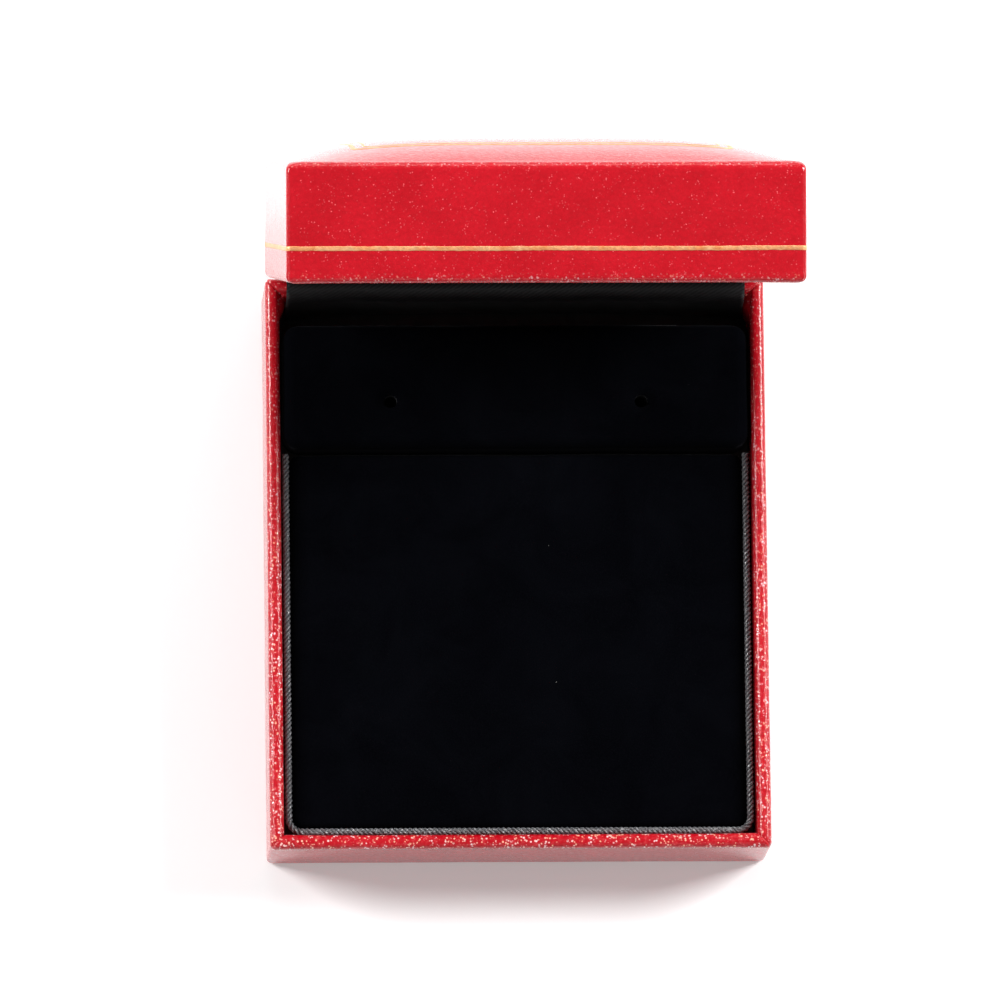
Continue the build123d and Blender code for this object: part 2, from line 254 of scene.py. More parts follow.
def red_leatherette():
    """Glossy paper-backed leatherette: fine pebble grain, bright specks that are partly paper fibre and partly
    painted sparkle, paler worn edges, and pale spots painted on the rims as glints.
    """
    made, tree, shader = material("red_leatherette", Specular_IOR_Level=0.12, IOR=1.5,
                                  Coat_Weight=0.8, Coat_Roughness=0.11, Coat_IOR=1.5)
    place = place_of(tree)
    pebbles = cells(tree, place, 0.62, "SMOOTH_F1")
    fine = grain(tree, place, 0.28, 3.0)
    blotch = grain(tree, place, 9.0, 3.0)
    crease = cells(tree, place, 2.4, "DISTANCE_TO_EDGE")
    colour = ramp(tree, blotch, (0.3, (0.47, 0.0020, 0.0095)), (0.7, (0.56, 0.0040, 0.0140)))
    dark = ramp(tree, pebbles, (0.25, 0.0), (0.75, 0.35))
    colour = over(tree, dark, colour, (0.36, 0.001, 0.006, 1))
    # Bright specks painted in the colour: partly flecks of fibre, partly painted highlights standing for the
    # grain's sparkle.
    fleck_and_glint_specks = ramp(tree, cells(tree, place, 0.50), (0.14, 1.0), (0.34, 0.0))
    chosen = ramp(tree, grain(tree, place, 1.1, 4.0, 0.6), (0.52, 0.0), (0.64, 0.85))
    fleck_and_glint_share = maths(tree, "MULTIPLY", fleck_and_glint_specks, chosen)
    colour = over(tree, fleck_and_glint_share, colour, (0.86, 0.13, 0.15, 1))
    # edge holds the rim wear and the strength of the painted glints below; on the base it fades towards the rear
    # as painted shade of the open lid.
    wear_and_glint = node(tree, "Attribute", attribute_name="edge").outputs["Fac"]
    rub = ramp(tree, grain(tree, place, 0.8, 4.0), (0.50, 0.0), (0.66, 0.45))
    colour = over(tree, maths(tree, "MULTIPLY", wear_and_glint, rub), colour, (0.70, 0.06, 0.07, 1))
    # Pale spots painted along the rims: painted highlights standing for the glints of crinkled leatherette.
    glint_spots = ramp(tree, cells(tree, place, 0.55), (0.22, 1.0), (0.46, 0.0))
    glint_patches = ramp(tree, grain(tree, place, 0.75, 3.0), (0.47, 0.0), (0.55, 1.0))
    painted_glint_share = maths(tree, "MULTIPLY", maths(tree, "MULTIPLY", glint_spots, glint_patches), wear_and_glint)
    colour = over(tree, painted_glint_share, colour,
                  ramp(tree, grain(tree, place, 1.7, 2.0), (0.4, (1.0, 0.48, 0.34)), (0.6, (1.0, 0.72, 0.76))))
    rough = ramp(tree, grain(tree, place, 0.9, 3.0), (0.3, 0.30), (0.7, 0.46))
    height = maths(tree, "MULTIPLY_ADD", pebbles, 0.8, maths(tree, "MULTIPLY", fine, 0.5))
    lines = ramp(tree, crease, (0.0, 0.0), (0.05, 1.0))
    normal = bump(tree, lines, 0.010, 0.5)
    crinkle = maths(tree, "ADD", height, maths(tree, "MULTIPLY", grain(tree, place, 1.1, 2.0), 1.3))
    edge_strength = ramp(tree, wear_and_glint, (0.0, 0.30), (0.8, 1.0))
    gloss_normal = bump(tree, maths(tree, "MULTIPLY", crinkle, edge_strength), 0.14, 1.0)
    normal = bump(tree, height, 0.085, 0.9, normal)
    feed(tree, shader, Base_Color=colour, Roughness=rough, Normal=normal,
         Coat_Normal=gloss_normal)
    return made


def gold_foil():
    """Hot-stamped gilt: uneven shine, tiny gaps where the grain shows through."""
    made, tree, shader = material("gold_foil")
    place = place_of(tree)
    patches = grain(tree, place, 1.6, 3.0)
    gaps = ramp(tree, grain(tree, place, 0.5, 3.0), (0.27, 0.7), (0.36, 0.0))
    colour = ramp(tree, patches, (0.3, (0.95, 0.34, 0.12)), (0.7, (1.0, 0.56, 0.28)))
    colour = over(tree, gaps, colour, (0.34, 0.02, 0.012, 1))
    metal = ramp(tree, gaps, (0.0, 0.55), (0.6, 0.0))
    rough = ramp(tree, grain(tree, place, 0.7, 2.0), (0.3, 0.30), (0.7, 0.55))
    normal = bump(tree, cells(tree, place, 0.45, "SMOOTH_F1"), 0.08, 0.9)
    feed(tree, shader, Base_Color=colour, Metallic=metal, Roughness=rough, Normal=normal)
    return made


def black_velvet():
    """Short nap: very dark, brushed in soft patches, a few pale bits of lint."""
    made, tree, shader = material("black_velvet", Roughness=0.95, Specular_IOR_Level=0.01,
                                  Sheen_Weight=0.035, Sheen_Roughness=0.35,
                                  Sheen_Tint=(0.6, 0.62, 0.7, 1))
    place = place_of(tree)
    brushed = grain(tree, place, 14.0, 4.0, 0.6, 0.8)
    nap = grain(tree, place, 0.22, 3.0, 0.7)
    colour = ramp(tree, brushed, (0.35, (0.0006, 0.0007, 0.0014)), (0.7, (0.0014, 0.0016, 0.0026)))
    fibre = ramp(tree, nap, (0.45, 0.0), (0.75, 0.5))
    colour = over(tree, fibre, colour, (0.0030, 0.0032, 0.0042, 1))
    bits = ramp(tree, cells(tree, place, 3.6), (0.022, 1.0), (0.040, 0.0))
    rare = ramp(tree, cells(tree, place, 3.6, output="Color"), (0.80, 0.0), (0.86, 0.6))
    lint = maths(tree, "MULTIPLY", bits, rare)
    colour = over(tree, lint, colour, (0.22, 0.22, 0.21, 1))
    normal = bump(tree, brushed, 0.35, 0.3)
    normal = bump(tree, nap, 0.06, 0.7, normal)
    feed(tree, shader, Base_Color=colour, Normal=normal)
    return made


def black_satin():
    """Satin with a fine diagonal twill, read along the cloth's own map."""
    made, tree, shader = material("black_satin", Specular_IOR_Level=0.22, Anisotropic=0.5,
                                  Sheen_Weight=0.03, Sheen_Roughness=0.4)
    cloth = node(tree, "TexCoord").outputs["UV"]
    turned = node(tree, "Mapping", {"Vector": cloth, "Rotation": (0, 0, math.radians(58))})
    twill = node(tree, "TexWave", {"Vector": turned.outputs["Vector"], "Scale": 520.0,
                                   "Distortion": 1.2, "Detail": 2.0, "Detail Scale": 4.0},
                 bands_direction="X").outputs["Fac"]
    uneven = grain(tree, cloth, 5.0, 3.0)
    colour = ramp(tree, twill, (0.2, (0.0040, 0.0038, 0.0042)), (0.8, (0.0170, 0.0162, 0.0176)))
    colour = over(tree, ramp(tree, uneven, (0.35, 0.35), (0.7, 0.0)), colour,
                  (0.0010, 0.0010, 0.0013, 1))
    rough = ramp(tree, uneven, (0.3, 0.34), (0.7, 0.46))
    normal = bump(tree, twill, 0.035, 0.6)
    feed(tree, shader, Base_Color=colour, Roughness=rough, Normal=normal)
    return made


def black_cord():
    """Rayon strands: fine filaments that run along each strand, with pale lines painted on them as their
    highlights.
    """
    made, tree, shader = material("black_cord", Specular_IOR_Level=0.8, Coat_Weight=1.0,
                                  Coat_Roughness=0.20, Coat_IOR=1.9, Sheen_Weight=0.25, Sheen_Roughness=0.3,
                                  Sheen_Tint=(0.8, 0.85, 1.0, 1))
    along = node(tree, "Attribute", attribute_name="along").outputs["Fac"]
    around = node(tree, "Attribute", attribute_name="around").outputs["Fac"]
    laid = node(tree, "CombineXYZ", {"X": maths(tree, "MULTIPLY", along, 900.0),
                                     "Y": maths(tree, "MULTIPLY", around, 9.0)})
    filaments = node(tree, "TexNoise", {"Vector": laid.outputs["Vector"], "Scale": 1.0,
                                        "Detail": 3.0}).outputs["Fac"]
    lines = node(tree, "TexWave", {"Vector": laid.outputs["Vector"], "Scale": 0.55,
                                   "Distortion": 3.0, "Detail": 2.0},
                 bands_direction="DIAGONAL").outputs["Fac"]
    colour = ramp(tree, filaments, (0.3, (0.010, 0.010, 0.012)), (0.7, (0.150, 0.150, 0.160)))
    # Pale lines painted along the filaments: painted highlights.
    colour = over(tree, ramp(tree, lines, (0.75, 0.0), (0.95, 0.6)), colour,
                  (0.42, 0.43, 0.44, 1))
    rough = ramp(tree, filaments, (0.3, 0.26), (0.7, 0.44))
    normal = bump(tree, lines, 0.06, 0.9)
    feed(tree, shader, Base_Color=colour, Roughness=rough, Normal=normal, Coat_Normal=normal)
    return made


def moulding():
    """Dark moulded plastic with faint flow marks."""
    made, tree, shader = material("moulding", Specular_IOR_Level=0.4)
    place = place_of(tree)
    flow = grain(tree, place, 6.0, 3.0, 0.5, 1.5)
    fine = grain(tree, place, 0.3, 2.0)
    colour = ramp(tree, flow, (0.3, (0.020, 0.019, 0.019)), (0.7, (0.034, 0.032, 0.032)))
    rough = ramp(tree, fine, (0.3, 0.40), (0.7, 0.55))
    feed(tree, shader, Base_Color=colour, Roughness=rough, Normal=bump(tree, fine, 0.02, 0.5))
    return made


def grey_card():
    """Charcoal grey chipboard: short fibres and flecks."""
    made, tree, shader = material("grey_card", Specular_IOR_Level=0.2)
    place = place_of(tree)
    fibres = grain(tree, place, 0.5, 5.0, 0.7, 2.0)
    flecks = ramp(tree, cells(tree, place, 1.1), (0.08, 0.7), (0.16, 0.0))
    colour = ramp(tree, fibres, (0.3, (0.030, 0.029, 0.028)), (0.7, (0.055, 0.053, 0.050)))
    colour = over(tree, flecks, colour, (0.014, 0.013, 0.012, 1))
    rough = ramp(tree, fibres, (0.3, 0.80), (0.7, 0.95))
    feed(tree, shader, Base_Color=colour, Roughness=rough, Normal=bump(tree, fibres, 0.05, 0.7))
    return made


def foam():
    """Charcoal open-cell foam."""
    made, tree, shader = material("foam", Specular_IOR_Level=0.15)
    place = place_of(tree)
    pores = cells(tree, place, 0.5)
    age = grain(tree, place, 10.0)
    colour = ramp(tree, age, (0.3, (0.016, 0.016, 0.017)), (0.7, (0.028, 0.028, 0.030)))
    # The pores are painted darker: painted shade in the open cells.
    colour = over(tree, ramp(tree, pores, (0.15, 0.6), (0.4, 0.0)), colour,
                  (0.006, 0.006, 0.006, 1))
    rough = ramp(tree, age, (0.3, 0.88), (0.7, 0.96))
    feed(tree, shader, Base_Color=colour, Roughness=rough, Normal=bump(tree, pores, 0.20, 0.8))
    return made


def black_paper():
    """Matt black lining paper with a pressed grain."""
    made, tree, shader = material("black_paper", Specular_IOR_Level=0.3)
    place = place_of(tree)
    pressed = cells(tree, place, 0.8, "DISTANCE_TO_EDGE")
    fibres = grain(tree, place, 0.4, 4.0, 0.6, 1.0)
    colour = ramp(tree, fibres, (0.3, (0.010, 0.010, 0.011)), (0.7, (0.026, 0.025, 0.025)))
    rough = ramp(tree, fibres, (0.3, 0.62), (0.7, 0.82))
    normal = bump(tree, fibres, 0.02, 0.5, bump(tree, pressed, 0.04, 0.6))
    feed(tree, shader, Base_Color=colour, Roughness=rough, Normal=normal)
    return made


def cloth_tape():
    """Black cotton tape: a plain weave on the tape's own map."""
    made, tree, shader = material("cloth_tape", Specular_IOR_Level=0.2, Sheen_Weight=0.15)
    cloth = node(tree, "TexCoord").outputs["UV"]
    warp = node(tree, "TexWave", {"Vector": cloth, "Scale": 480.0, "Distortion": 0.4},
                bands_direction="X").outputs["Fac"]
    weft = node(tree, "TexWave", {"Vector": cloth, "Scale": 480.0, "Distortion": 0.4},
                bands_direction="Y").outputs["Fac"]
    weave = maths(tree, "MAXIMUM", warp, weft)
    colour = ramp(tree, weave, (0.2, (0.006, 0.006, 0.007)), (0.9, (0.030, 0.030, 0.032)))
    rough = ramp(tree, grain(tree, cloth, 2.0), (0.3, 0.80), (0.7, 0.92))
    feed(tree, shader, Base_Color=colour, Roughness=rough, Normal=bump(tree, weave, 0.06, 0.8))
    return made


def steel(name, dark, light, smooth, dull):
    """Bright metal with fine drawn lines and small stains."""
    made, tree, shader = material(name, Metallic=1.0)
    place = place_of(tree)
    drawn = node(tree, "Mapping", {"Vector": place, "Scale": (0.05, 1.0, 1.0)})
    lines = grain(tree, drawn.outputs["Vector"], 0.12, 3.0, 0.7)
    stains = grain(tree, place, 2.5, 4.0)
    colour = ramp(tree, stains, (0.35, dark), (0.6, light))
    rough = ramp(tree, lines, (0.3, smooth), (0.7, dull))
    feed(tree, shader, Base_Color=colour, Roughness=rough, Normal=bump(tree, lines, 0.008, 0.5))
    return made


def floor_paint():
    """Plain pale floor with the faintest unevenness."""
    made, tree, shader = material("floor_paint", Specular_IOR_Level=0.2,
                                  Emission_Color=(1, 1, 1, 1), Emission_Strength=0.22)
    mist = grain(tree, place_of(tree), 90.0, 2.0)
    colour = ramp(tree, mist, (0.3, (0.905, 0.905, 0.910)), (0.7, (0.925, 0.925, 0.928)))
    rough = ramp(tree, mist, (0.3, 0.60), (0.7, 0.66))
    feed(tree, shader, Base_Color=colour, Roughness=rough)
    return made


finishes = {
    "red_leatherette": red_leatherette(),
    "gold_foil": gold_foil(),
    "black_velvet": black_velvet(),
    "black_satin": black_satin(),
    "black_cord": black_cord(),
    "moulding": moulding(),
    "grey_card": grey_card(),
    "foam": foam(),
    "black_paper": black_paper(),
    "cloth_tape": cloth_tape(),
    "plated_steel": steel("plated_steel", (0.52, 0.44, 0.30), (0.72, 0.62, 0.42), 0.22, 0.38),
    "spring_steel": steel("spring_steel", (0.30, 0.31, 0.34), (0.52, 0.53, 0.55), 0.26, 0.42),
}

# ---------------------------------------------------------------- mesh helpers


def make_mesh(name, points, faces, place=None, flat_map=None):
    """A smooth mesh object from points in millimetres, moved by a place matrix if given."""
    if place is not None:
        points = [place @ Vector(point) for point in points]
    mesh = bpy.data.meshes.new(name)
    mesh.from_pydata([tuple(Vector(point) * MM) for point in points], [], faces)
    mesh.update()
    if flat_map is not None:
        layer = mesh.uv_layers.new(name="cloth")
        for loop in mesh.loops:
            layer.data[loop.index].uv = Vector(flat_map[loop.vertex_index]) * MM
    mesh.shade_smooth()
    made = bpy.data.objects.new(name, mesh)
    bpy.context.collection.objects.link(made)
    return made


def grid_faces(rows, columns, wrapped):
    """Quads of a grid of points, closed round its columns if wrapped."""
    last = columns if wrapped else columns - 1
    faces = []
    for i in range(rows - 1):
        for j in range(last):
            k = (j + 1) % columns
            faces.append((i * columns + j, i * columns + k,
                          (i + 1) * columns + k, (i + 1) * columns + j))
    return faces


def settle(piece):
    """Turn a piece's modifiers into its mesh."""
    depsgraph = bpy.context.evaluated_depsgraph_get()
    mesh = bpy.data.meshes.new_from_object(piece.evaluated_get(depsgraph))
    piece.modifiers.clear()
    old = piece.data
    piece.data = mesh
    bpy.data.meshes.remove(old)
    return piece


def thicken(piece, thickness):
    """Give a sheet its thickness, on the side away from its faces."""
    solid = piece.modifiers.new("thickness", "SOLIDIFY")
    solid.thickness = thickness * MM
    solid.offset = -1
    solid.use_even_offset = False
    return settle(piece)


def close_doubles(piece, distance=0.004):
    """Merge points that lie on each other, such as those at a pole."""
    work = bmesh.new()
    work.from_mesh(piece.data)
    bmesh.ops.remove_doubles(work, verts=work.verts, dist=distance * MM)
    bmesh.ops.dissolve_degenerate(work, edges=work.edges, dist=distance * MM * 0.5)
    work.to_mesh(piece.data)
    work.free()
    piece.data.shade_smooth()
    return piece


def cut(piece, cutter):
    """Take a cutter's shape out of a piece, and remove the cutter."""
    trim = piece.modifiers.new("cut", "BOOLEAN")
    trim.operation = "DIFFERENCE"
    trim.solver = "EXACT"
    trim.object = cutter
    settle(piece)
    bpy.data.objects.remove(cutter)
    return piece


def block(name, low, high, place=None):
    """A plain block, used to cut with."""
    points = [(x, y, z) for z in (low[2], high[2]) for y in (low[1], high[1])
              for x in (low[0], high[0])]
    faces = [(0, 2, 3, 1), (4, 5, 7, 6), (0, 1, 5, 4), (2, 6, 7, 3), (0, 4, 6, 2), (1, 3, 7, 5)]
    return make_mesh(name, points, faces, place)


def peg(name, centre, radius, low, high, sides=40):
    """A round peg along z, used to cut with."""
    turn = [2 * math.pi * k / sides for k in range(sides)]
    ring = [(centre[0] + radius * math.cos(a), centre[1] + radius * math.sin(a)) for a in turn]
    points = [(x, y, z) for z in (low, high) for x, y in ring]
    faces = [(k, (k + 1) % sides, sides + (k + 1) % sides, sides + k) for k in range(sides)]
    faces.append(tuple(reversed(range(sides))))
    faces.append(tuple(range(sides, 2 * sides)))
    return make_mesh(name, points, faces)


def unevenness(point, size, seed):
    """Smooth noise, from -1 to 1, with features about size millimetres across."""
    return noise.noise(Vector(point) / size + Vector((seed, seed * 0.37, -seed)))


CORNER_STEPS = 8


def side_fractions(count):
    """Places along a side, from 0 to 1 without its ends, closer together near the corners."""
    even = np.linspace(0, 1, count + 2)[1:-1]
    return 0.45 * even + 0.55 * (0.5 - 0.5 * np.cos(math.pi * even))


def outline(half_x, half_y, radius, along_x, along_y):
    """Points round a rounded rectangle, counter-clockwise from its right-hand rear corner."""
    corners = ((1, 1, 0), (-1, 1, 90), (-1, -1, 180), (1, -1, 270))
    ring = []
    for index, (sign_x, sign_y, start) in enumerate(corners):
        centre = Vector((sign_x * (half_x - radius), sign_y * (half_y - radius)))
        arc = [math.radians(start + 90 * k / CORNER_STEPS) for k in range(CORNER_STEPS + 1)]
        ring += [centre + radius * Vector((math.cos(a), math.sin(a))) for a in arc]
        sign_x, sign_y, start = corners[(index + 1) % 4]
        turn = math.radians(start)
        ahead = (Vector((sign_x * (half_x - radius), sign_y * (half_y - radius)))
                 + radius * Vector((math.cos(turn), math.sin(turn))))
        behind = ring[-1]
        fractions = along_x if index % 2 == 0 else along_y
        ring += [behind.lerp(ahead, t) for t in fractions]
    return [(point.x, point.y) for point in ring]


def wrap(half_x, half_y, section, along_x, along_y, centre=(0, 0)):
    """Rings of points: a section of (inset, z, corner radius) carried round a rectangle."""
    rings = []
    for inset, z, radius in section:
        ring = outline(half_x - inset, half_y - inset, radius, along_x, along_y)
        rings.append([(x + centre[0], y + centre[1], z) for x, y in ring])
    return np.array(rings, float)


def grid_normals(rings):
    """Outward directions on a wrapped grid of points."""
    round_it = np.roll(rings, -1, axis=1) - np.roll(rings, 1, axis=1)
    up_it = np.gradient(rings, axis=0)
    normal = np.cross(round_it, up_it)
    size = np.linalg.norm(normal, axis=2, keepdims=True)
    return normal / np.maximum(size, 1e-9)


def arc_section(centre, radius, start, end, steps, corner):
    """Part of a section: an arc of (inset, z), with the corner radius at each point."""
    points = []
    for k in range(steps + 1):
        a = math.radians(start + (end - start) * k / steps)
        inset = centre[0] + radius * math.cos(a)
        points.append((inset, centre[1] + radius * math.sin(a), corner(inset)))
    return points


def run_section(start, end, steps, corner):
    """Part of a section: a straight run, without its two ends."""
    points = []
    for k in range(1, steps):
        t = k / steps
        inset = start[0] + (end[0] - start[0]) * t
        points.append((inset, start[1] + (end[1] - start[1]) * t, corner(inset)))
    return points


def set_edge(piece, rings, wear_and_glint, edge_strength=1.0):
    """Store, ring by ring, how strongly each point takes the rim wear and the painted glints, for the finish to
    read.
    """
    layer = piece.data.attributes.new("edge", "FLOAT", "POINT")
    values = np.ones(rings.shape[:2]) * np.array(wear_and_glint)[:, None] * edge_strength
    layer.data.foreach_set("value", values.astype(np.float32).ravel())


def dress(piece, body, slot, *nodes, finish=None):
    """Finish a piece: its material, picked by its slot name unless a finish is given, its body and the CAD nodes
    it stands for.
    """
    piece.data.materials.clear()
    piece.data.materials.append(finishes[finish or slot])
    if body is not None:
        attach(piece, body)
    if nodes:
        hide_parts(*nodes)
    return piece


# ---------------------------------------------------------------- leatherette covers


def outer_corner(inset):
    """Corner radius of the wrapped walls: nearly square outside, folded tight inside."""
    return max(0.9 - inset, 0.0) + 0.30 * min(max(inset, 0.0), 1.0)


def rim_section(rim, away, corner):
    """The rounded rim, from the outer wall over to the inner wall. away is 1 or -1."""
    flat = WALL_STACK - 2 * RIM_ROUND
    low = rim - away * RIM_ROUND
    first = arc_section((RIM_ROUND, low), RIM_ROUND, 180, 180 - away * 90, 6, corner)
    second = arc_section((RIM_ROUND + flat, low), RIM_ROUND, away * 90, 0, 6, corner)
    return first + run_section((RIM_ROUND, rim), (RIM_ROUND + flat, rim), 4, corner) + second


def fold_lift(point, rim, away):
    """The mitred fold at each corner of the rim: one flap lies a little over the other."""
    inset_x = half_width - abs(point[0])
    inset_y = half_length - abs(point[1])
    if max(inset_x, inset_y) > 9 or abs(point[2] - rim) > 1.2:
        return 0.0
    side = (inset_x - inset_y) / math.sqrt(2)
    fade = max(0.0, 1 - abs(side) / 5)
    step = 0.10 * fade if side > 0 else 0.0
    groove = -0.16 * math.exp(-(side / 0.16) ** 2)
    return step + groove


def cover_unevenness(point, seed):
    """How far the leatherette stands off the wall: slow waves and small glue lumps."""
    return 0.045 * unevenness(point, 16, seed) + 0.018 * unevenness(point, 3.5, seed + 5)


def corner_bulge(point):
    """The turned-in leatherette stands off the base's walls beside the hinge well."""
    on_side = half_width - abs(point[0]) > WALL_STACK - 0.01
    if not on_side or abs(point[1]) > half_length - WALL_STACK or point[2] < BASE_TURN_IN - 1:
        return 0.0
    back = min(max((point[1] - pad_high.y - 0.6) / 4.0, 0.0), 1.0)
    down = min(max((rim_z - point[2]) / 3.0, 0.0), 1.0)
    return 1.2 * back * back * (3 - 2 * back) * down


def shape_cover(rings, rim, away, seed):
    """Push the cover's points in and out along their normals."""
    normals = grid_normals(rings)
    normals[rings[:, :, 2] > lid_edge_z] = (0, 0, 1)
    for i in range(rings.shape[0]):
        for j in range(rings.shape[1]):
            point = rings[i, j]
            lift = cover_unevenness(point, seed) + fold_lift(point, rim, away)
            if away > 0:
                lift += corner_bulge(point)
            rings[i, j] = point + normals[i, j] * lift
    return rings


def rim_wear_and_glint(section, rim, others=()):
    """1 all over the rim and on the other edges of a section, falling to 0 beside them."""
    wear_and_glint = []
    for inset, z, _ in section:
        over_rim = 1 - max(0.0, abs(z - rim) - 0.7) / 1.2
        beside = [1 - math.hypot(inset - e[0], z - e[1]) / 0.8 for e in others]
        wear_and_glint.append(max(0.0, over_rim, *beside))
    return wear_and_glint


side_x = side_fractions(84)
side_y = side_fractions(96)


def make_base_cover():
    """Leatherette round the base: hemmed underneath, over the rim and turned in."""
    def inner_corner(inset):
        return 0.30 if inset > 1.2 else outer_corner(inset)

    section = [(8.0, hem_z, 0.9)]
    section += run_section((8.0, hem_z), (0.35, hem_z), 6, lambda inset: 0.9)
    section += arc_section((0.35, hem_z + 0.35), 0.35, 270, 180, 4, lambda inset: 0.9)
    section += run_section((0, hem_z + 0.35), (0, rim_z - RIM_ROUND), 22, lambda inset: 0.9)
    section += rim_section(rim_z, 1, inner_corner)
    section += run_section((WALL_STACK, rim_z - RIM_ROUND), (WALL_STACK, BASE_TURN_IN), 10, inner_corner)
    section.append((WALL_STACK, BASE_TURN_IN, 0.30))
    rings = wrap(half_width, half_length, section, side_x, side_y)
    wear_and_glint = rim_wear_and_glint(section, rim_z, ((0, hem_z),))
    rings = shape_cover(rings, rim_z, 1, 3.0)
    cover = make_mesh("base_leatherette", rings.reshape(-1, 3),
                      grid_faces(len(section), rings.shape[1], True))
    # The rim wear and painted glints thin out towards the rear: a painted shade for the open lid over the rear of
    # the rims.
    set_edge(cover, rings, wear_and_glint, np.clip(1 - (rings[:, :, 1] + 10) / 60, 0.35, 1))
    thicken(cover, SKIN - 0.03)
    reach = WALL_STACK + 1.0
    cut(cover, block("notch", (-HINGE_HALF, half_length - reach, rim_z - NOTCH),
                     (HINGE_HALF, half_length + reach, rim_z + 2)))
    return dress(cover, "base", "red_leatherette", "base_cover")


def crown_height(x, y, drop=0.0):
    """Height of the padded top above the lid's edge: steep at the edge, nearly level inside."""
    reach = half_width - LID_EDGE_ROUND
    rise = 1.0
    for distance in (half_width - LID_EDGE_ROUND - abs(x), half_length - LID_EDGE_ROUND - abs(y)):
        rise *= 1 - (1 - min(max(distance / reach, 0.0), 1.0)) ** 4.3
    return CROWN * rise - drop


def crown_corner(inset):
    """Corner radius of the rings on the top, which widen so that the grid stays even."""
    share = inset / half_width
    return 0.9 * (1 - share) + (half_width - inset) * share


def top_insets(first, steps):
    """Insets of the rings on the top, closer together near the edge."""
    return [first + (half_width - first) * (k / steps) ** 1.6 for k in range(1, steps + 1)]


def make_lid_cover():
    """Leatherette over the lid: turned in, over the rim, up the walls and over the padding."""
    def inner_corner(inset):
        return 0.30 if inset > 1.2 else outer_corner(inset)

    section = [(WALL_STACK, LID_TURN_IN, 0.30)]
    section += run_section((WALL_STACK, LID_TURN_IN), (WALL_STACK, RIM_ROUND), 14, inner_corner)
    section += list(reversed(rim_section(0.0, -1, inner_corner)))
    section += run_section((0, RIM_ROUND), (0, lid_edge_z - LID_EDGE_ROUND), 24,
                           lambda inset: 0.9)
    section += arc_section((LID_EDGE_ROUND, lid_edge_z - LID_EDGE_ROUND), LID_EDGE_ROUND,
                           180, 90, 8, crown_corner)
    section += [(inset, lid_edge_z, crown_corner(inset))
                for inset in top_insets(LID_EDGE_ROUND, 44)]
    rings = wrap(half_width, half_length, section, side_x, side_y)
    top = rings[:, :, 2] > lid_edge_z - LID_EDGE_ROUND
    for i, j in zip(*np.nonzero(top)):
        rings[i, j, 2] += crown_height(rings[i, j, 0], rings[i, j, 1])
    # The lid's rims take the wear and the painted glints more weakly.
    wear_and_glint = [0.4 * share for share in rim_wear_and_glint(section, 0.0, ((0.45, lid_edge_z - 0.45),))]
    rings = shape_cover(rings, 0.0, -1, 11.0)
    cover = make_mesh("lid_leatherette", rings.reshape(-1, 3),
                      grid_faces(len(section), rings.shape[1], True), lid_frame)
    set_edge(cover, rings, wear_and_glint)
    close_doubles(cover)
    thicken(cover, SKIN - 0.03)
    reach = WALL_STACK + 1.0
    cut(cover, block("notch", (-HINGE_HALF, half_length - reach, -2),
                     (HINGE_HALF, half_length + reach, NOTCH), lid_frame))
    dress(cover, "lid", "red_leatherette", "lid_cover")
    return cover


def make_crown_foam():
    """Foam between the lid's moulding and its leatherette, with the same domed top."""
    inset = LID_EDGE_ROUND + 1.4
    section = [(inset, lid_edge_z - SKIN, 0.6), (inset, lid_edge_z - SKIN + 0.15, 0.6)]
    section += [(step, lid_edge_z, crown_corner(step)) for step in top_insets(inset, 20)]
    few = side_fractions(30)
    rings = wrap(half_width, half_length, section, few, few)
    for i in range(2, rings.shape[0]):
        for j in range(rings.shape[1]):
            rings[i, j, 2] += crown_height(rings[i, j, 0], rings[i, j, 1], SKIN + 0.12)
    faces = grid_faces(len(section), rings.shape[1], True)
    faces.append(tuple(reversed(range(rings.shape[1]))))
    foam_piece = make_mesh("crown_padding", rings.reshape(-1, 3), faces, lid_frame)
    close_doubles(foam_piece)
    dress(foam_piece, "lid", "foam", "crown_foam")


def make_gold_band():
    """Gilt rule stamped round the lid's walls, a little uneven along its edges."""
    low, high = band_low.z, band_high.z
    proud = 0.07
    section = [(0.05, low), (-proud * 0.6, low), (-proud, low + 0.12), (-proud, (low + high) / 2),
               (-proud, high - 0.12), (-proud * 0.6, high), (0.05, high)]
    rings = wrap(half_width, half_length, [(i, z, 0.9 - i) for i, z in section], side_fractions(220),
                 side_fractions(250))
    for i, (_, z) in enumerate(section):
        outer = 1 if z > (low + high) / 2 else -1
        for j in range(rings.shape[1]):
            x, y, _ = rings[i, j]
            edge = abs(z - (low + high) / 2) > 0.2
            ragged = 0.07 * unevenness((x, y, outer * 7), 0.9, 4.0) if edge else 0.0
            sway = 0.05 * unevenness((x, y, 0), 14, 9.0)
            rings[i, j, 2] = z + ragged + sway
    normals = grid_normals(wrap(half_width, half_length, [(0, 0, 0.9), (0, 1, 0.9)],
                                side_fractions(220), side_fractions(250)))
    for i in range(rings.shape[0]):
        for j in range(rings.shape[1]):
            wall = Vector(rings[i, j]) + Vector(normals[0, j]) * section[i][0]
            rings[i, j] += normals[0, j] * cover_unevenness(wall, 11.0)
    faces = grid_faces(len(section), rings.shape[1], True)
    columns = rings.shape[1]
    last = (len(section) - 1) * columns
    faces += [(j, last + j, last + (j + 1) % columns, (j + 1) % columns) for j in range(columns)]
    band = make_mesh("gilt_band", rings.reshape(-1, 3), faces, lid_frame)
    dress(band, "lid", "gold_foil", "gold_band")


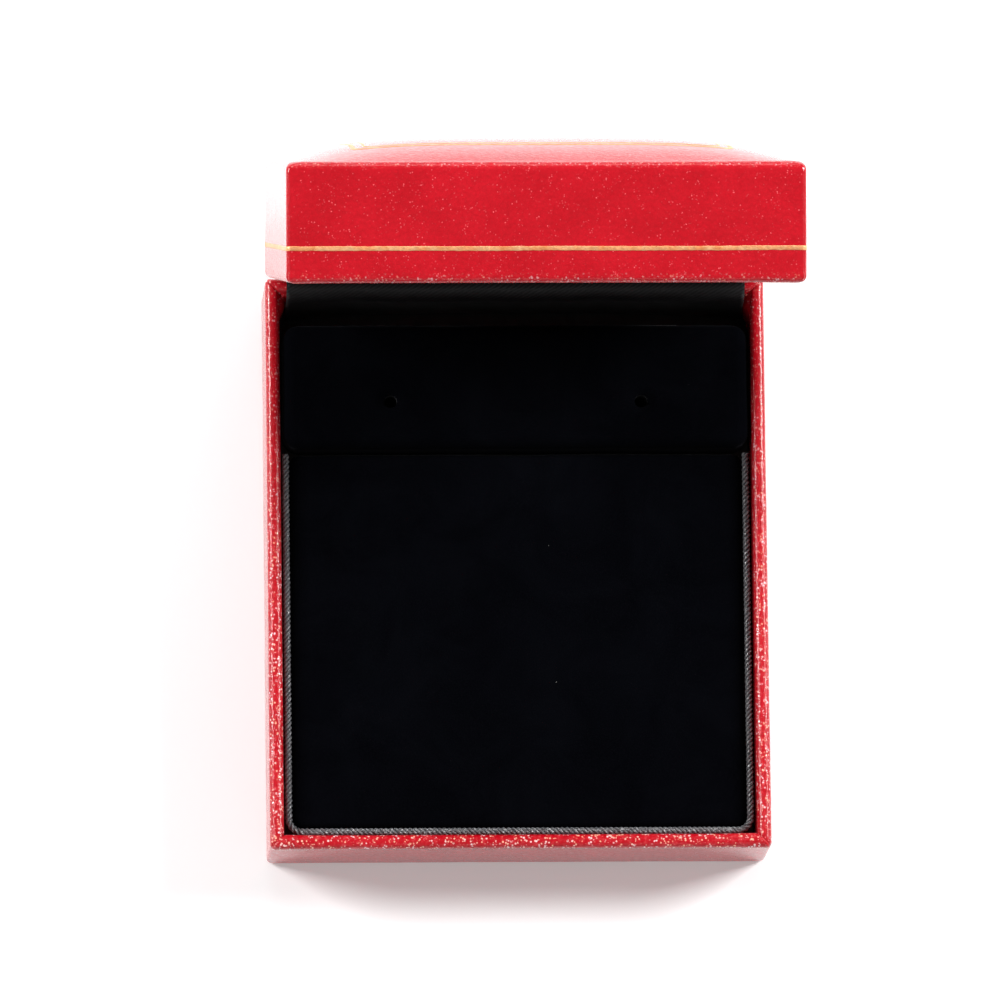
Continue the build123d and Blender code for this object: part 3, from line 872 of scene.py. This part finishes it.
def make_top_rules():
    """Two gilt rules on the padded top, one broad and one fine."""
    outer_inset = half_width - rules_high.x
    points, faces = [], []
    for inset, breadth in ((outer_inset, 0.8), (outer_inset + 2.2, 0.4)):
        section = [(inset + breadth, -0.06), (inset + breadth, 0.03), (inset + breadth / 2, 0.07),
                   (inset, 0.03), (inset, -0.06)]
        fractions = side_fractions(120)
        rings = wrap(half_width, half_length, [(i, z, 2.0) for i, z in reversed(section)],
                     fractions, fractions)
        for i in range(rings.shape[0]):
            for j in range(rings.shape[1]):
                x, y, z = rings[i, j]
                top = Vector((x, y, lid_edge_z + crown_height(x, y)))
                rings[i, j, 2] = top.z + z + cover_unevenness(top, 11.0)
        start = len(points)
        columns = rings.shape[1]
        last = 4 * columns
        some = grid_faces(5, columns, True)
        some += [(j, last + j, last + (j + 1) % columns, (j + 1) % columns)
                 for j in range(columns)]
        faces += [tuple(start + corner for corner in face) for face in some]
        points += [tuple(point) for point in rings.reshape(-1, 3)]
    rules = make_mesh("gilt_top_rules", points, faces, lid_frame)
    dress(rules, "lid", "gold_foil", "gold_top_rules")


# ---------------------------------------------------------------- padded pieces


def cushion(name, low, high, corner, edge_round, swell, seed, dips=(), place=None, flip=False,
            puckers=0.0, steps=26, level=-0.12, slack=1.0):
    """Cloth drawn over a foam block: open underneath, rounded edges, softly uneven top.

    low and high are its corners, swell is how far the middle of the top rises, and dips are
    (x, y, radius, depth) where the cloth is drawn down. level is where the cloth lies against
    its box, and slack is how much of the usual unevenness it has.
    """
    half_x = (high.x - low.x) / 2
    half_y = (high.y - low.y) / 2
    centre = ((high.x + low.x) / 2, (high.y + low.y) / 2)
    height = high.z - low.z
    short = min(half_x, half_y)
    top = height - swell

    def ring_corner(inset):
        share = max(0.0, inset - edge_round) / (short - edge_round)
        tight = max(corner - inset, 0.5)
        return tight * (1 - share) + (short - inset) * share

    section = [(0.0, 0.0, corner)]
    section += run_section((0, 0), (0, top - edge_round), 8, lambda inset: corner)
    section += arc_section((edge_round, top - edge_round), edge_round, 180, 90, 8, ring_corner)
    section += [(edge_round + (short - edge_round) * (k / steps) ** 1.25, top, 0)
                for k in range(1, steps + 1)]
    section = [(inset, z, ring_corner(inset) if z >= top - edge_round else r)
               for inset, z, r in section]
    rings = wrap(half_x, half_y, section, side_fractions(max(20, int(half_x * 1.6))),
                 side_fractions(max(20, int(half_y * 1.6))))
    normals = grid_normals(rings)
    normals[rings[:, :, 2] > top - 0.01] = (0, 0, 1)
    for i in range(rings.shape[0]):
        for j in range(rings.shape[1]):
            x, y, z = rings[i, j]
            rise = max(0.0, 1 - (x / half_x) ** 4) * max(0.0, 1 - (y / half_y) ** 2)
            up = max(0.0, z / top) ** 3
            uneven = unevenness((x, y, z), 11, seed) * 0.16 + unevenness((x, y, z), 4, seed) * 0.05
            near_edge = max(0.0, 1 - min(half_x - abs(x), half_y - abs(y)) / 5)
            pull = puckers * near_edge * up * unevenness((x, y, 0), 3.6, seed + 2)
            lift = swell * rise * up
            for dip_x, dip_y, radius, depth in dips:
                gap = math.hypot(x + centre[0] - dip_x, y + centre[1] - dip_y)
                lift -= depth * math.exp(-(max(gap - radius, 0.0) / 0.9) ** 2) * up
            inward = level + slack * min(uneven, 0.10) + pull
            rings[i, j] = rings[i, j] + normals[i, j] * inward
            rings[i, j, 2] += lift
    points = rings.reshape(-1, 3)
    sign = -1 if flip else 1
    points = [((x * sign) + centre[0], y + centre[1],
               (high.z - z) if flip else (low.z + z)) for x, y, z in points]
    flat_map = [(x, y) for x, y, _ in points]
    faces = grid_faces(len(section), rings.shape[1], True)
    made = make_mesh(name, points, faces, place, flat_map)
    close_doubles(made)
    return made


stud_holes = [mount for mount in frame["record"].get("mounts", [])
              if "stud" in str(mount.get("name", mount.get("id", "")))]
STUD_X = 23.1
STUD_Y = pad_low.y + 8.7
STUD_RADIUS = 1.2


def make_stud_pad():
    """Velvet over the earring pad, drawn down round its two post holes."""
    dips = [(sign * STUD_X, STUD_Y, STUD_RADIUS, 0.75) for sign in (-1, 1)]
    velvet = cushion("stud_pad_velvet", pad_low, pad_high, 3.0, 2.2, 0.35, 21.0, dips)
    thicken(velvet, 0.5)
    filling_low = Vector((pad_low.x + 0.6, pad_low.y + 0.6, pad_low.z + 1.5))
    filling_high = Vector((pad_high.x - 0.6, pad_high.y - 0.6, pad_high.z - 0.6))
    filling = cushion("stud_pad_filling", filling_low, filling_high, 2.4, 1.6, 0.35, 21.0, dips)
    close_bottom(filling)
    for piece in (velvet, filling):
        for sign in (-1, 1):
            cut(piece, peg("post", (sign * STUD_X, STUD_Y), STUD_RADIUS, pad_low.z - 1,
                           pad_high.z + 1))
    dress(velvet, "stud_pad", "black_velvet", "pad_velvet")
    dress(filling, "stud_pad", "foam", "pad_foam")


def close_bottom(piece):
    """Close a form's open underside with one face."""
    work = bmesh.new()
    work.from_mesh(piece.data)
    open_edges = [edge for edge in work.edges if edge.is_boundary]
    bmesh.ops.edgeloop_fill(work, edges=open_edges)
    work.to_mesh(piece.data)
    work.free()
    piece.data.shade_smooth()


def make_panel():
    """Velvet over the necklace panel: flat, soft at its edges."""
    velvet = cushion("panel_cloth", panel_low, panel_high, 1.8, 1.2, 0.15, 33.0)
    thicken(velvet, 0.5)
    dress(velvet, "base", "black_velvet", "panel_velvet")


def make_lining():
    """Satin over thin foam inside the lid, with small pulls along its edges."""
    lining = cushion("lid_lining", lining_low, lining_high, 2.0, 0.9, 0.0, 47.0,
                     place=lid_frame, flip=True, puckers=0.10, level=0.14, slack=0.5)
    thicken(lining, 0.35)
    dress(lining, "lid", "black_satin", "lining_satin")


# ---------------------------------------------------------------- strips that cross a hinge


def strip_path(points, radius, spacing):
    """Points along a line with one rounded bend, in the y and z directions."""
    first, corner, last = (np.array(p, float) for p in points)
    into = (corner - first) / np.linalg.norm(corner - first)
    away = (last - corner) / np.linalg.norm(last - corner)
    turn = math.acos(float(np.clip(into @ away, -1, 1)))
    tangent = radius * math.tan(turn / 2)
    centre_way = (away - into) / np.linalg.norm(away - into)
    centre = corner + centre_way * radius / math.cos(turn / 2)
    start, end = corner - into * tangent, corner + away * tangent
    path = []
    for t in np.linspace(0, 1, max(2, int(np.linalg.norm(start - first) / spacing)) + 1):
        path.append(first + (start - first) * t)
    steps = max(4, int(radius * turn / spacing))
    for k in range(1, steps):
        angle = turn * k / steps
        spoke = start - centre
        side = into * radius
        path.append(centre + spoke * math.cos(angle) + side * math.sin(angle))
    for t in np.linspace(0, 1, max(2, int(np.linalg.norm(last - end) / spacing)) + 1):
        path.append(end + (last - end) * t)
    return np.array(path), start, end


def strip(name, path, half_x, columns, thickness, bow=None):
    """A strip across the box that follows a path from the base into the lid."""
    normals = np.zeros_like(path)
    along = np.gradient(path, axis=0)
    normals[:, 0], normals[:, 1] = -along[:, 1], along[:, 0]
    normals /= np.linalg.norm(normals, axis=1, keepdims=True)
    length = np.concatenate([[0], np.cumsum(np.linalg.norm(np.diff(path, axis=0), axis=1))])
    points, flat_map = [], []
    for i, (y, z) in enumerate(path):
        for j in range(columns + 1):
            x = -half_x + 2 * half_x * j / columns
            off = bow(x / half_x, length[i] / length[-1], x, length[i]) if bow else 0.0
            points.append((x, y + normals[i, 0] * off, z + normals[i, 1] * off))
            flat_map.append((x, length[i]))
    faces = grid_faces(len(path), columns + 1, False)
    made = make_mesh(name, points, faces, None, flat_map)
    solid = made.modifiers.new("thickness", "SOLIDIFY")
    solid.thickness = thickness * MM
    solid.offset = 0
    return settle(made)


def hinge_path(stand_off, drop, rise):
    """The three turning points of a strip round the lid's hinge."""
    y, z = hinge_point.y, hinge_point.z
    return (
        (y - stand_off, z - drop),
        (y - stand_off, z + stand_off * math.tan(lean / 2)),
        (y + rise * math.sin(lean) - stand_off * math.cos(lean),
         z + rise * math.cos(lean) + stand_off * math.sin(lean)),
    )


def make_hinge_satin():
    """Satin strip that hides the hinge, glued to both walls and loose in between."""
    path, start, end = strip_path(hinge_path(WALL_STACK + 1.9, 10.5, 11.0), 3.5, 0.55)
    half_x = satin_high.x + 0.4

    def bow(side, share, x, length):
        forward = 1.5 * side ** 4 * max(0.0, 1 - share * 2.2)
        slack = 0.30 * unevenness((x, length * 0.4, 0), 9, 51.0) * math.sin(math.pi * share)
        pleat = 0.10 * unevenness((x, length * 0.15, 3), 2.6, 57.0) * math.sin(math.pi * share)
        return forward + slack + pleat

    satin = strip("hinge_satin_strip", path, half_x, 120, 0.30, bow)
    dress(satin, None, "black_satin", "hinge_satin")
    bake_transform(satin)


def make_hinge_spring():
    """Bowed steel strip that snaps the lid open and shut."""
    path, start, end = strip_path(hinge_path(WALL_STACK + 0.5 + 0.3, 6.6, 6.6), 2.5, 0.4)
    spring = strip("hinge_spring_strip", path, spring_high.x, 8, 0.28)
    dress(spring, None, "spring_steel", "hinge_spring")
    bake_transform(spring)


def make_pad_tape():
    """Cloth tape along the rear of the stud pad, half on the insert and half on the pad."""
    y = (tape_low.y + tape_high.y) / 2
    path = np.array([(y, z) for z in np.linspace(tape_low.z, tape_high.z, 24)])
    tape = strip("stud_pad_tape", path, tape_high.x, 60, 0.26)
    dress(tape, None, "cloth_tape", "pad_tape")
    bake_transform(tape)


# ---------------------------------------------------------------- piping cord


def cord_tree():
    """Geometry Nodes: strands laid round each other along a curve."""
    tree = bpy.data.node_groups.new("laid_cord", "GeometryNodeTree")
    face = tree.interface
    face.new_socket("Geometry", in_out="INPUT", socket_type="NodeSocketGeometry")
    for label, kind in (("Strands", "NodeSocketInt"), ("Strand Radius", "NodeSocketFloat"),
                        ("Lay Radius", "NodeSocketFloat"), ("Pitch", "NodeSocketFloat"),
                        ("Steps per Turn", "NodeSocketInt"), ("Strand Sides", "NodeSocketInt"),
                        ("Finish", "NodeSocketMaterial")):
        face.new_socket(label, in_out="INPUT", socket_type=kind)
    face.new_socket("Geometry", in_out="OUTPUT", socket_type="NodeSocketGeometry")

    def add(kind, sockets=None, **settings):
        made = tree.nodes.new(kind)
        for key, value in settings.items():
            setattr(made, key, value)
        for key, value in (sockets or {}).items():
            if isinstance(value, bpy.types.NodeSocket):
                tree.links.new(value, made.inputs[key])
            else:
                made.inputs[key].default_value = value
        return made

    given = add("NodeGroupInput").outputs
    step = add("ShaderNodeMath", {0: given["Pitch"], 1: given["Steps per Turn"]},
               operation="DIVIDE").outputs[0]
    route = add("GeometryNodeResampleCurve", {"Curve": given["Geometry"], "Length": step},
                mode="LENGTH").outputs["Curve"]
    length = add("GeometryNodeSplineParameter").outputs["Length"]
    route = add("GeometryNodeStoreNamedAttribute", {"Geometry": route, "Name": "along",
                                                    "Value": length},
                data_type="FLOAT", domain="POINT").outputs["Geometry"]
    turns = add("ShaderNodeMath", {0: length, 1: given["Pitch"]}, operation="DIVIDE").outputs[0]
    tilt = add("ShaderNodeMath", {0: turns, 1: 2 * math.pi}, operation="MULTIPLY").outputs[0]
    route = add("GeometryNodeSetCurveTilt", {"Curve": route, "Tilt": tilt}).outputs["Curve"]
    lay = add("GeometryNodeCurvePrimitiveCircle", {"Resolution": given["Strands"],
                                                   "Radius": given["Lay Radius"]})
    strand = add("GeometryNodeCurvePrimitiveCircle", {"Resolution": given["Strand Sides"],
                                                      "Radius": given["Strand Radius"]})
    around = add("GeometryNodeSplineParameter").outputs["Factor"]
    strand = add("GeometryNodeStoreNamedAttribute",
                 {"Geometry": strand.outputs["Curve"], "Name": "around", "Value": around},
                 data_type="FLOAT", domain="POINT").outputs["Geometry"]
    placed = add("GeometryNodeInstanceOnPoints", {"Points": lay.outputs["Curve"],
                                                  "Instance": strand}).outputs["Instances"]
    section = add("GeometryNodeRealizeInstances", {"Geometry": placed}).outputs["Geometry"]
    rope = add("GeometryNodeCurveToMesh", {"Curve": route, "Profile Curve": section,
                                           "Fill Caps": True}).outputs["Mesh"]
    rope = add("GeometryNodeSetShadeSmooth", {"Geometry": rope}).outputs["Geometry"]
    rope = add("GeometryNodeRealizeInstances", {"Geometry": rope}).outputs["Geometry"]
    rope = add("GeometryNodeSetMaterial", {"Geometry": rope,
                                           "Material": given["Finish"]}).outputs["Geometry"]
    result = tree.nodes.new("NodeGroupOutput")
    tree.links.new(rope, result.inputs["Geometry"])
    return tree


def make_cord():
    """Twisted piping cord held round the left, the front and the right of the panel."""
    radius = (cord_high.z - cord_low.z) / 2
    z = (cord_high.z + cord_low.z) / 2
    x = cord_high.x - radius
    front = cord_low.y + radius
    rear = cord_high.y
    corner = 2.4
    reach = corner * (1 - 0.5523)
    stops = (
        ((-x, rear), (-x, rear - 5), (-x, rear - 5)),
        ((-x, front + corner), (-x, front + corner + 5), (-x, front + reach)),
        ((-x + corner, front), (-x + reach, front), (-x + corner + 5, front)),
        ((x - corner, front), (x - corner - 5, front), (x - reach, front)),
        ((x, front + corner), (x, front + reach), (x, front + corner + 5)),
        ((x, rear), (x, rear - 5), (x, rear - 5)),
    )
    curve = bpy.data.curves.new("panel_piping", "CURVE")
    curve.dimensions = "3D"
    curve.resolution_u = 24
    spline = curve.splines.new("BEZIER")
    spline.bezier_points.add(len(stops) - 1)
    for point, (place, left, right) in zip(spline.bezier_points, stops):
        point.handle_left_type = point.handle_right_type = "FREE"
        point.co = Vector((*place, z)) * MM
        point.handle_left = Vector((*left, z)) * MM
        point.handle_right = Vector((*right, z)) * MM
    route = bpy.data.objects.new("panel_piping_route", curve)
    bpy.context.collection.objects.link(route)
    laid = route.modifiers.new("laid_cord", "NODES")
    laid.node_group = cord_tree()
    values = {"Strands": 3, "Strand Radius": radius * 0.53 * MM, "Lay Radius": radius * 0.70 * MM,
              "Pitch": 2.7 * MM, "Steps per Turn": 12, "Strand Sides": 9,
              "Finish": finishes["black_cord"]}
    for item in laid.node_group.interface.items_tree:
        if item.in_out == "INPUT" and item.name in values:
            laid[item.identifier] = values[item.name]
    depsgraph = bpy.context.evaluated_depsgraph_get()
    mesh = bpy.data.meshes.new_from_object(route.evaluated_get(depsgraph))
    bpy.data.objects.remove(route)
    cord = bpy.data.objects.new("panel_piping", mesh)
    bpy.context.collection.objects.link(cord)
    dress(cord, "base", "black_cord", "panel_cord")


# ---------------------------------------------------------------- floor and the pieces


def make_floor():
    size = 4000
    floor = make_mesh("floor", [(-size, -size, -0.02), (size, -size, -0.02), (size, size, -0.02),
                                (-size, size, -0.02)], [(0, 1, 2, 3)])
    floor.data.materials.append(floor_paint())


make_floor()
make_base_cover()
make_lid_cover()
make_crown_foam()
make_gold_band()
make_top_rules()
make_panel()
make_stud_pad()
make_lining()
make_hinge_satin()
make_hinge_spring()
make_pad_tape()
make_cord()

carried_over = {
    "base_shell": "moulding", "lid_shell": "moulding", "under_sheet": "black_paper",
    "insert_frame": "grey_card", "panel_card": "grey_card", "pad_card": "grey_card",
    "lining_card": "grey_card", "panel_foam": "foam", "lining_foam": "foam",
    "hinge_base_leaf": "plated_steel", "hinge_lid_leaf": "plated_steel",
    "hinge_pin": "plated_steel", "base_tacks": "plated_steel", "lid_tacks": "plated_steel",
}
for name, slot in carried_over.items():
    node_object = frame["nodes"][name]
    for place in node_object.material_slots:
        place.material = finishes[slot]
